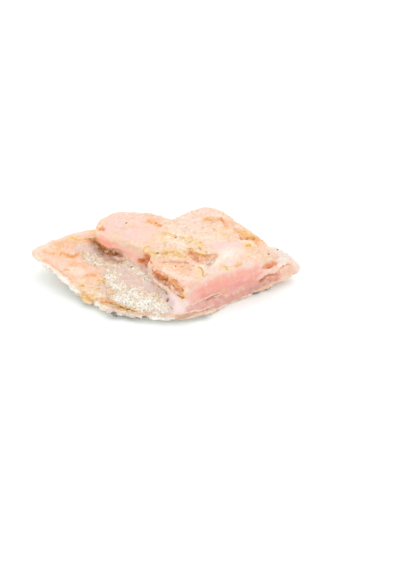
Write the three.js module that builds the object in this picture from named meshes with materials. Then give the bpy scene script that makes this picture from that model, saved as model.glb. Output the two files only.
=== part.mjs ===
// A rough pink opal: one broken slab of opal with stepped blocks on its upper side.
// Millimetres, +Z up, +X along the stone's length, the origin under the middle of its base.
import * as THREE from "three";
import { ConvexGeometry } from "three/addons/geometries/ConvexGeometry.js";
import { ImprovedNoise } from "three/addons/math/ImprovedNoise.js";

// The unevenness of the broken faces: a broad swell, and small chips on it.
const SWELL = { size: 9, height: 0.8 };
const CHIPS = { size: 2.8, height: 0.44 };
const REST_BAND = 1.2; // the unevenness fades out this far above the resting face

const CELL = new THREE.Vector3(1.2, 1.15, 0.95); // the grid that the surface is made on
const PULLS = 12; // how often a point is pulled towards the surfaces near it
const PROBE = 0.05; // how far apart a form is felt to find its slope

// The stone is a few convex lumps grown together. Each is given by its corners, [x, y, z].
const LUMPS = {
  // The lowest layer, which the stone rests on. Its upper edge stands out as a lip.
  sole: [
    [-15.9, -11.3, 0],
    [-13.3, -13.3, 0],
    [-10.4, -14.4, 0],
    [-3.8, -15.6, 0],
    [0.9, -16.5, 0],
    [4.6, -16.4, 0],
    [8.4, -15.4, 0],
    [10.7, -13.9, 0],
    [15, -10.7, 0],
    [19.9, -7.2, 0],
    [27.3, -2.6, 0],
    [29, 3.5, 0],
    [18, 11, 0],
    [4, 14.4, 0],
    [-12, 13, 0],
    [-21, 8, 0],
    [-21.5, -4, 0],
    [-16.4, -12, 1.2],
    [-13.6, -13.9, 1.2],
    [-7, -15.2, 1.1],
    [0.6, -17.1, 1.2],
    [4.3, -17, 1.5],
    [5.6, -15.4, 3.2],
    [10.8, -12.4, 4],
    [14.6, -10.4, 4.1],
    [19.5, -7.6, 4],
    [24.2, -4.9, 3.7],
    [28.4, -2.6, 3.3],
    [30, 5, 3.4],
    [18, 12, 3.4],
    [4, 16.2, 2.8],
    [-8, 15.8, 2.6],
    [-20, 12, 3],
    [-22, 2, 2.6],
  ],

  // The layer that spreads to both pointed ends, with the sloping wing on the left.
  slab: [
    [-18, -8, 1],
    [-10, -12, 1],
    [8, -8, 1],
    [24, -2, 1],
    [24, 5, 1],
    [-18, 8, 1],
    [-35.7, 4.1, 6.6],
    [-35.2, 3.9, 5.3],
    [-34.8, 5.4, 7],
    [-33.4, 2.6, 5.9],
    [-33, 3.4, 5],
    [-30.9, 0.2, 5.3],
    [-30.6, 0.9, 4.3],
    [-26.1, -4.6, 3.9],
    [-26, -3.6, 2.8],
    [-23.4, -7.4, 3.2],
    [-23.2, -7.2, 1.9],
    [-20.6, -9.3, 2.8],
    [-20.4, -9.7, 1.6],
    [-16, -11.5, 2.7],
    [-12.6, -12.9, 2.6],
    [-7, -14.5, 2.4],
    [0, -15.4, 2.3],
    [3.4, -15.3, 2.6],
    [5.5, -14, 3.4],
    [27.7, -2, 4.2],
    [30.7, -0.4, 1],
    [33, 0.3, 1.4],
    [34.9, 1.2, 2.5],
    [34.8, 2.4, 3.6],
    [25, 8.6, 3],
    [10, 15.6, 2.8],
    [-8, 15, 3],
    [-22, 12.6, 4.4],
    [-31, 8.6, 5.6],
    [-29, 8.8, 8],
    [-24.1, 10.2, 8.9],
    [-19.4, 11.2, 9.7],
    [-18.4, 6.3, 9],
    [-12.9, 2.3, 8],
    [-7.1, -0.3, 7],
    [-3.9, -5.9, 5.4],
    [0.6, -10, 4.4],
  ],

  // The pale block left of the middle. Its front leans out over the slab.
  cap: [
    [-18.2, 4.6, 12],
    [-18.6, 7.5, 13],
    [-17.4, 9, 14.7],
    [-14.9, 10.6, 15.3],
    [-12, 11, 15.2],
    [-8.1, 10.1, 15.2],
    [-4.1, 9, 15],
    [-1.5, 9.3, 15.2],
    [1.7, 8.5, 15],
    [-16.4, 3.2, 11.8],
    [-12.9, 1.3, 11.3],
    [-8.8, -0.8, 10.8],
    [-16.6, 2.8, 10.6],
    [-12.7, 0.6, 10],
    [-8.8, -1.6, 9.6],
    [-6.4, -1.9, 10],
    [-3.3, -1.9, 10.8],
    [0.8, -2.4, 11.4],
    [3.9, -1.6, 11.9],
    [5.9, -1.1, 12.2],
    [-17.4, 6, 8],
    [-12.3, 2.7, 7.2],
    [-6.6, 0.2, 6.2],
    [4, 0, 6],
    [3, 14.8, 3],
    [-16, 13.8, 4],
  ],

  // The block in front of the middle, with its torn front.
  middle: [
    [-4.6, -3.1, 9.4],
    [-3.5, -5.3, 8.8],
    [-1.2, -7.8, 8.8],
    [0.9, -9.9, 8.8],
    [3.5, -12.4, 9],
    [5.8, -14, 9],
    [9.8, -11.1, 10.2],
    [10, -6.6, 10.8],
    [9, -5.8, 11.2],
    [4.9, -1.6, 11.7],
    [-3.3, -0.6, 10.6],
    [-4.1, -5.9, 4.6],
    [0.6, -10.2, 3.6],
    [5, -15, 2.6],
    [9.6, -11.4, 2.6],
    [12, 0, 3],
    [-2, 2, 3],
  ],

  // The block on the right. Its long smooth face looks to the right and forwards.
  right: [
    [5.9, -14.4, 3],
    [6.2, -13.8, 6.6],
    [7.2, -12.4, 8.6],
    [9, -10.6, 10.2],
    [11.6, -11.2, 5],
    [11.4, -10.8, 8],
    [11.4, -9.9, 9.8],
    [11.4, -8.4, 11.3],
    [14.4, -9.9, 3],
    [16.6, -8.3, 8.4],
    [16.6, -7.4, 10.1],
    [15.6, -6, 11.8],
    [20.4, -6.3, 8.6],
    [20.4, -5.7, 10],
    [19.4, -4.2, 11.8],
    [24, -4.5, 3],
    [24, -4.2, 8],
    [23.8, -3.5, 9.4],
    [24.4, -1.8, 11],
    [28.3, -2, 3],
    [28.6, -1.9, 7.2],
    [28.4, -0.9, 8.8],
    [33, 0, 2.6],
    [32.4, 0, 6],
    [34.8, 0.7, 2.9],
    [35.6, 1, 3.8],
    [35.4, 1.3, 4.8],
    [34.6, 1.8, 5.5],
    [14.6, -4.4, 12.6],
    [18.5, -2.7, 12.8],
    [21.8, -0.8, 12.3],
    [25.6, 1.2, 11.2],
    [28.4, 1.6, 9.6],
    [32, 1.9, 7.2],
    [28, 6.5, 3],
    [12, 4, 3],
    [7, -7, 3],
  ],

  // The block at the back, which has the highest point.
  peak: [
    [4, 8.9, 15.4],
    [6.9, 10, 16.1],
    [9.5, 10.7, 16.4],
    [12.1, 10.7, 16.5],
    [14.5, 10.3, 16.3],
    [15.4, 9, 15.7],
    [17.1, 6.5, 14],
    [19.9, 4.6, 12.3],
    [21.9, 4.6, 12.9],
    [24.2, 3, 12.4],
    [26.6, 1.8, 11.2],
    [18.5, -2.5, 12.4],
    [14.3, -4.1, 12.1],
    [10.3, -4.3, 12.2],
    [7, -1.9, 12.4],
    [3, 2, 13],
    [1, 8.5, 14],
    [2, 13.5, 3],
    [12, 16, 3],
    [26, 7.5, 3],
    [11, -5, 3],
    [2, -1, 3],
  ],
};

// Where chips broke away: ellipsoids with half axes in reach, the first of them along the line given.
const HOLLOWS = {
  creviceUnderCap: { at: [-13.6, 2.8, 8.6], reach: [5.4, 1.2, 0.9], along: [8, -4.8, -1.6] },
  tornCorner: { at: [-5.2, -1.9, 9.1], reach: [1.5, 1.4, 1.5], along: [1, -1, 0.4] },
  upperGash: { at: [-0.9, -8, 7.6], reach: [2.9, 1, 0.9], along: [4.2, -4, -0.4] },
  lowerGash: { at: [3.3, -12.5, 6.3], reach: [2.8, 0.9, 0.8], along: [2, -2.5, -1] },
  ovalPit: { at: [27, -3, 8.6], reach: [2, 1.4, 1], along: [4, 2.4, -1] },
  rightLedge: { at: [21.2, 2.2, 13.6], reach: [2.6, 1.4, 1.1], along: [2, 0.2, -0.6] },
  edgeNotch: { at: [17.4, 6.2, 15.2], reach: [1.6, 1.8, 1.2], along: [1, -1, 0] },
  peakDish: { at: [12.4, 6.4, 16.6], reach: [4, 1.7, 1.3], along: [4, -0.6, -0.3] },
  capDish: { at: [-3, 6.4, 15.8], reach: [2.4, 1.4, 1.3], along: [2, -0.5, -0.3] },
  scallop: { at: [3.8, -7.4, 12.6], reach: [5.8, 3.8, 2.6], along: [4, -3, 0.6] },
  stepRecess: { at: [8.6, -4.1, 11.6], reach: [2.8, 0.8, 0.45], along: [4, -1.4, 0] },
  palePatch: { at: [16.4, 0.6, 15.6], reach: [5, 3.4, 2.4], along: [4, -0.4, -0.4] },
  underLedge: { at: [26.2, -4.6, 4.8], reach: [2.8, 1.2, 1.1], along: [4, 2, 0.8] },
  lipGap: { at: [19, -9.2, 1.4], reach: [6, 1.2, 2], along: [9, 5.4, 0] },
  rimNotch: { at: [-18.2, -11.6, 2], reach: [1.6, 1.6, 2.4], along: [1, -1, 0] },
  wingDish: { at: [-11, -4, 10.8], reach: [9, 6, 4.4], along: [6, -5, -2] },
};

const noise = new ImprovedNoise();
const vector = (numbers) => new THREE.Vector3(...numbers);

// A form is a function that gives a point's distance to it in mm, below zero inside.
function lump(corners) {
  const walls = new ConvexGeometry(corners.map(vector)).getAttribute("position");
  const planes = [];
  for (let i = 0; i < walls.count; i += 3) {
    const [a, b, c] = [0, 1, 2].map((k) => new THREE.Vector3().fromBufferAttribute(walls, i + k));
    planes.push(new THREE.Plane().setFromCoplanarPoints(a, b, c));
  }
  return (point) => Math.max(...planes.map((plane) => plane.distanceToPoint(point)));
}

function hollow({ at, reach, along }) {
  const lengthways = new THREE.Vector3(1, 0, 0);
  const turn = new THREE.Quaternion().setFromUnitVectors(lengthways, vector(along).normalize());
  const toUnitBall = new THREE.Matrix4().compose(vector(at), turn, vector(reach)).invert();
  return (point) => (point.clone().applyMatrix4(toUnitBall).length() - 1) * Math.min(...reach);
}

// Moves a point by the unevenness, which leaves the resting face flat.
function uneven(point) {
  const freedom = THREE.MathUtils.smoothstep(point.z, 0, REST_BAND);
  const moved = point.clone();
  for (const { size, height } of [SWELL, CHIPS]) {
    const { x, y, z } = point.clone().divideScalar(size);
    // Each direction is pushed by its own stretch of the noise.
    const push = [noise.noise(x, y, z), noise.noise(y, z, x + size), noise.noise(z, x, y - size)];
    moved.addScaledVector(vector(push), height * freedom);
  }
  return moved;
}

const lumps = Object.values(LUMPS).map(lump);
const hollows = Object.values(HOLLOWS).map(hollow);

function stone(point) {
  const moved = uneven(point);
  const grown = Math.min(...lumps.map((form) => form(moved)));
  const chipped = Math.max(grown, ...hollows.map((form) => -form(moved)));
  return Math.max(chipped, -point.z);
}

// The way out of a form at a point: the direction in which its distance grows fastest.
function outward(form, point) {
  const rise = [0, 1, 2].map((axis) => {
    const probe = new THREE.Vector3().setComponent(axis, PROBE);
    return form(point.clone().add(probe)) - form(point.clone().sub(probe));
  });
  return vector(rise).normalize();
}

// A cell has corners 0 to 7, whose three bits say how far they lie along x, y and z.
// An edge is named by the two corners that it joins, lower number first.
const CORNERS = [0, 1, 2, 3, 4, 5, 6, 7];
const SIDES = [
  [0, 1, 3, 2],
  [4, 5, 7, 6],
  [0, 1, 5, 4],
  [2, 3, 7, 6],
  [0, 2, 6, 4],
  [1, 3, 7, 5],
];
const edge = (a, b) => `${Math.min(a, b)}-${Math.max(a, b)}`;
const shifted = (at, corner, way) => at.map((n, axis) => n + way * ((corner >> axis) & 1));

// Sorts the crossed edges of a cell into the separate sheets of surface that pass through it.
// The answer gives, for any crossed edge, the one edge that stands for its sheet.
function sheetsOf(inside) {
  const links = new Map();
  const leader = (name) => (links.has(name) ? leader(links.get(name)) : name);
  const link = (a, b) => {
    if (leader(a) !== leader(b)) links.set(leader(a), leader(b));
  };
  for (const side of SIDES) {
    const crossed = [];
    side.forEach((corner, n) => {
      const before = side[(n + 3) % 4];
      const after = side[(n + 1) % 4];
      if (inside[corner] !== inside[after]) crossed.push(edge(corner, after));
      // An inside corner between two outside ones cuts itself off with its own two edges.
      if (inside[corner] && !inside[before] && !inside[after]) {
        link(edge(before, corner), edge(corner, after));
      }
    });
    if (crossed.length === 2) link(...crossed);
  }
  return leader;
}

// The middle of some crossings, pulled onto all their tangent planes so that edges stay sharp.
function pulledPoint(crossings) {
  const point = new THREE.Vector3();
  for (const { at } of crossings) point.addScaledVector(at, 1 / crossings.length);
  for (let pull = 0; pull < PULLS; pull++) {
    const from = point.clone();
    for (const { at, out } of crossings) {
      const gap = at.clone().sub(from).dot(out);
      point.addScaledVector(out, gap / crossings.length);
    }
  }
  point.z = Math.max(point.z, 0); // never below the resting face
  return point;
}

// The closed surface where a form's distance is zero. Every sheet in every cell of a grid gets
// one point, and every grid edge that the surface crosses gets two triangles round it.
function surfaceOf(form, box, cell) {
  const count = box.getSize(new THREE.Vector3()).divide(cell).ceil().addScalar(1).toArray();
  const index = ([i, j, k]) => (i * count[1] + j) * count[2] + k;
  const place = (at) => vector(at).multiply(cell).add(box.min);
  const grid = [];
  for (let i = 0; i < count[0]; i++) {
    for (let j = 0; j < count[1]; j++) {
      for (let k = 0; k < count[2]; k++) grid.push([i, j, k]);
    }
  }
  const distance = grid.map((at) => form(place(at)));
  const isInside = (at) => distance[index(at)] < 0;

  const leaders = new Map();
  const sheetAt = (cellAt, name) => {
    const cellIndex = index(cellAt);
    if (!leaders.has(cellIndex)) {
      const inside = CORNERS.map((corner) => isInside(shifted(cellAt, corner, 1)));
      leaders.set(cellIndex, sheetsOf(inside));
    }
    return `${cellIndex} ${leaders.get(cellIndex)(name)}`;
  };

  const crossingsOf = new Map();
  const quads = [];
  for (const at of grid) {
    for (const axis of [0, 1, 2]) {
      const along = 1 << axis;
      const next = shifted(at, along, 1);
      if (next[axis] >= count[axis] || isInside(at) === isInside(next)) continue;
      const [here, there] = [distance[index(at)], distance[index(next)]];
      const spot = place(at).lerp(place(next), here / (here - there));
      const crossing = { at: spot, out: outward(form, spot) };
      const aside = 1 << (axis + 1) % 3;
      const above = 1 << (axis + 2) % 3;
      const quad = [0, aside, aside | above, above].map((corner) =>
        sheetAt(shifted(at, corner, -1), edge(corner, corner | along)),
      );
      for (const sheet of quad) {
        if (!crossingsOf.has(sheet)) crossingsOf.set(sheet, []);
        crossingsOf.get(sheet).push(crossing);
      }
      quads.push(isInside(at) ? quad : quad.reverse());
    }
  }

  const points = [...crossingsOf.values()].map(pulledPoint);
  const numberOf = new Map([...crossingsOf.keys()].map((sheet, number) => [sheet, number]));
  const faces = quads.flatMap((quad) => {
    const [a, b, c, d] = quad.map((sheet) => numberOf.get(sheet));
    const shorter = points[a].distanceTo(points[c]) < points[b].distanceTo(points[d]);
    return shorter ? [a, b, c, a, c, d] : [a, b, d, b, c, d];
  });
  return new THREE.BufferGeometry().setFromPoints(points).setIndex(faces);
}

const corners = Object.values(LUMPS).flat().map(vector);
const box = new THREE.Box3().setFromPoints(corners).expandByVector(CELL);
const geometry = surfaceOf(stone, box, CELL);
geometry.computeVertexNormals();
geometry.computeBoundingBox();
const middle = geometry.boundingBox.getCenter(new THREE.Vector3());

const opal = new THREE.Mesh(
  geometry,
  new THREE.MeshStandardMaterial({ color: 0xf0b6a4, roughness: 0.45, metalness: 0 }),
);
opal.name = "rough_opal";
opal.position.set(-middle.x, -middle.y, 0);

const part = new THREE.Group();
part.add(opal);

export default part;
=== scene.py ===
# A rough pink opal on a pale floor. Blender works in metres; sizes on the stone are given in mm.
import math

import bpy
import numpy as np
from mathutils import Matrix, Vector
from mathutils.bvhtree import BVHTree


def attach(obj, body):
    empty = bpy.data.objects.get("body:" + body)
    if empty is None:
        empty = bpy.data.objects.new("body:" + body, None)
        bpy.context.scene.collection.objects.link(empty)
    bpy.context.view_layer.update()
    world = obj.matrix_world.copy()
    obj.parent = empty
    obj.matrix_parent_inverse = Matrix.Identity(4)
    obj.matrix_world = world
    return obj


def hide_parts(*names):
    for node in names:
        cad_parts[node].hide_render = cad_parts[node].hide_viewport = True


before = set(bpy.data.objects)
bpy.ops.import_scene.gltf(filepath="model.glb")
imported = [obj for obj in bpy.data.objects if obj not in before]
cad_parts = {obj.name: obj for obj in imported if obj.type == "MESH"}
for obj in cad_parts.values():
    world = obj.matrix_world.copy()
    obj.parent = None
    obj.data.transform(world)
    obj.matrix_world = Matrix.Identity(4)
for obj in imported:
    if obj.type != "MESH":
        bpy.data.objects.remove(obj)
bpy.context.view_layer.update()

MM = 0.001

# The photo's camera. It looks at LOOK_AT from DISTANCE, both in mm, tilted down by PITCH.
IMAGE = (400, 570)
FOCAL_PX = 1200
PITCH = math.radians(37.8)
DISTANCE = 315.7
LOOK_AT = Vector((9.09, -0.74, 0))
SENSOR_WIDTH = 36  # mm, along the image's longer side
NEAREST_SEEN = 0.01  # metres from the camera

# The fine surface, in mm where no other unit is named.
VOXEL = 0.25  # its grid
SMOOTHING = 6  # rounds that soften the solid's facets
SMOOTH_IN = 0.6  # how far a round moves each point towards its neighbours' mean
SMOOTH_OUT = 0.55  # how far it then moves them back, so that the stone hardly shrinks
ROUNDING = 30  # rounds that round off the smooth faces' edges
ROUND_IN = 0.5  # how far such a round moves each point
HOLLOW_ROUNDS = 8  # rounds of smoothing that hollows are measured against
TRACE_STEP = 0.8  # pixels between the points of a line that is laid on the stone
FAR = 3  # closeness to a line is worked out up to this many times the line's reach
GRAIN = 0.5  # width of the crystals that stand up from the druse
CRYSTAL = 0.55  # width of the crystals in its material
BUMP = 0.2  # depth of the material's bumps
GLOW = 0.3  # how far red light travels under the surface, the other colours less
SEED = 7

# Light. A share of 1 makes an open white face white.
WORLD_LIGHT = 1.1
WORLD_COLOUR = (0.975, 1, 0.99)
EXPOSURE = 0.87  # how much of the light each colour gives back, against the photo's white

# Lamps, in metres: name: (place, size, share).
LAMPS = {
    "key": ((0.15, 0.25, 0.6), 0.6, 0.2),
    "front": ((-0.12, -0.6, 0.2), 0.5, 0.08),
}

FLOOR_REACH = 3.0  # metres from the stone to each side
FLOOR_COLOUR = (0.93, 0.95, 0.955)

# Colours as the photo shows them, 0 to 255.
PINK = (251, 210, 194)
PALE_PINK = (250, 217, 203)
PEACH = (250, 202, 170)
SALMON = (251, 178, 162)
CREAM = (251, 232, 212)
WHITE = (255, 251, 244)
LILAC = (230, 203, 198)
PALE_LILAC = (247, 223, 218)
MAUVE = (233, 176, 166)
APRICOT = (249, 194, 150)
ORANGE = (245, 160, 98)
RUST = (216, 120, 62)
YELLOW = (250, 213, 150)
OCHRE = (238, 168, 92)
BROWN = (160, 104, 66)
DARK = (92, 80, 72)
TAN = (245, 212, 178)
PALE_YELLOW = (253, 240, 222)
GREY = (214, 206, 194)
RIND = (250, 241, 228)

# Broad tints: name: (colour, reach in mm, strength, pixels that the middle follows). Pixels are carried
# along the camera's rays onto the stone, and a tint spreads out from there, round edges too.
ZONES = {
    "wing": ((249, 199, 165), 8.0, 0.7, [(50, 254), (78, 266), (100, 284), (112, 296)]),
    "wing_pink": ((251, 203, 184), 3.2, 0.7, [(84, 262), (96, 272), (104, 282)]),
    "wing_tip": ((252, 222, 202), 3.0, 0.9, [(35, 255), (42, 251), (48, 246)]),
    "wing_pale": ((250, 214, 204), 2.0, 0.8, [(56, 262), (63, 266)]),
    "wing_cream": (CREAM, 1.8, 0.8, [(72, 270), (80, 271)]),
    "wing_foot": ((249, 221, 188), 3.0, 0.8, [(78, 289), (90, 292), (104, 298)]),
    "wing_back": ((246, 187, 146), 2.2, 0.8, [(58, 245), (70, 241), (84, 240), (93, 238)]),
    "wing_ridge": ((250, 222, 202), 1.2, 0.7, [(56, 240), (68, 235.6), (80, 231.6), (90, 229.4)]),
    # Partly the stone's lilac, partly painted shade: darker beside the crevice under the cap's overhang.
    "lilac_and_painted_shade_by_crevice": ((236, 202, 192), 2.2, 0.9, [(80, 248), (86, 248), (92, 250)]),
    "lilac_foot": ((234, 202, 192), 3.2, 0.8, [(104, 261), (122, 263), (140, 269), (151, 283)]),
    "cap": ((248, 210, 198), 6.5, 0.7, [(112, 224), (130, 232), (150, 240)]),
    "cap_lilac": ((248, 208, 202), 2.2, 0.8, [(108, 230), (116, 234), (128, 236)]),
    "cap_left": ((250, 216, 188), 1.8, 0.8, [(102, 218), (98, 226), (97, 233)]),
    "cap_lower": ((253, 216, 188), 2.2, 0.8, [(112, 239), (122, 243), (134, 247), (144, 249)]),
    # Partly the stone's own salmon, partly a painted glow of light shining through the cap's thin front edge.
    "cap_front": ((255, 176, 148), 1.7, 1.0, [(99, 240), (107, 244), (117, 248.6)]),
    "cap_front_right": ((255, 196, 176), 1.7, 0.9, [(121, 250.6), (130, 254.6), (138, 258)]),
    "band": ((250, 203, 178), 2.6, 0.9, [(154, 264), (165, 264), (185, 270), (182, 278)]),
    "peach_middle": ((250, 208, 176), 2.4, 0.7, [(148, 244), (156, 240), (166, 232)]),
    "splash": ((248, 215, 194), 2.8, 0.7, [(164, 244), (177, 244), (190, 244)]),
    "mid_yellow": ((250, 222, 178), 1.8, 0.7, [(162, 238), (184, 238), (199, 246), (180, 254), (166, 252)]),
    "peak_foot": ((251, 228, 206), 3.0, 0.8, [(174, 234), (196, 236), (214, 238)]),
    "peak": (PALE_PINK, 4.4, 0.8, [(184, 219), (200, 213), (216, 211)]),
    "peak_right": ((250, 213, 184), 3.0, 0.7, [(220, 228), (232, 232), (250, 240), (262, 250)]),
    "peak_left": ((250, 221, 206), 3.0, 0.8, [(172, 224), (186, 227), (200, 227)]),
    "right_patch": ((244, 211, 203), 3.0, 0.9, [(218, 247), (226, 249), (238, 244)]),
    # Partly the stone's cream, partly a painted highlight along the right block's rounded top edge.
    "right_top": ((252, 240, 230), 3.6, 1.0, [(204, 268), (216, 262), (232, 258)]),
    "right_rim": ((252, 226, 208), 2.4, 0.8, [(222, 266), (238, 263), (250, 262)]),
    "right_middle": ((250, 225, 204), 2.6, 0.8, [(240, 256), (250, 258)]),
    "right_low": ((252, 222, 210), 2.0, 0.9, [(248, 263), (256, 262), (262, 264)]),
    "right_back": ((246, 205, 176), 2.6, 0.8, [(252, 250), (260, 254), (268, 260)]),
    # Partly the stone's pale colour, partly a painted highlight where the face rolls over into the top.
    "face_top": ((253, 224, 212), 2.0, 0.9, [(188, 286), (202, 275), (222, 268), (240, 263), (256, 260)]),
    "face": (SALMON, 2.65, 1.0, [(196, 297), (211, 287), (226, 281), (240, 277), (257, 272)]),
    "face_deep": ((251, 170, 156), 1.6, 0.9, [(198, 294), (211, 287.6), (225, 283.6), (240, 280.4)]),
    "face_sheen": ((238, 157, 150), 1.4, 0.9, [(204, 298), (216, 293.6), (230, 289), (246, 284), (256, 280)]),
    "face_left": ((250, 198, 190), 1.8, 0.7, [(190, 302), (194, 297)]),
    "lilac_facet": ((255, 232, 228), 2.6, 1.0, [(172, 301), (182, 308)]),
    "foot_pink": ((255, 230, 220), 2.2, 1.0, [(146, 313), (160, 314), (172, 312)]),
    "tip": ((254, 236, 228), 2.8, 1.0, [(282, 263), (297, 267)]),
    "tip_back": ((246, 224, 222), 1.5, 1.0, [(272, 250), (283, 254), (293, 260)]),
    "tip_front": ((247, 196, 176), 1.7, 0.9, [(278, 276), (285, 272), (292, 270)]),
    "tip_under": ((224, 142, 124), 1.8, 0.95, [(261, 284), (268, 280), (276, 278)]),
}

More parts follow.
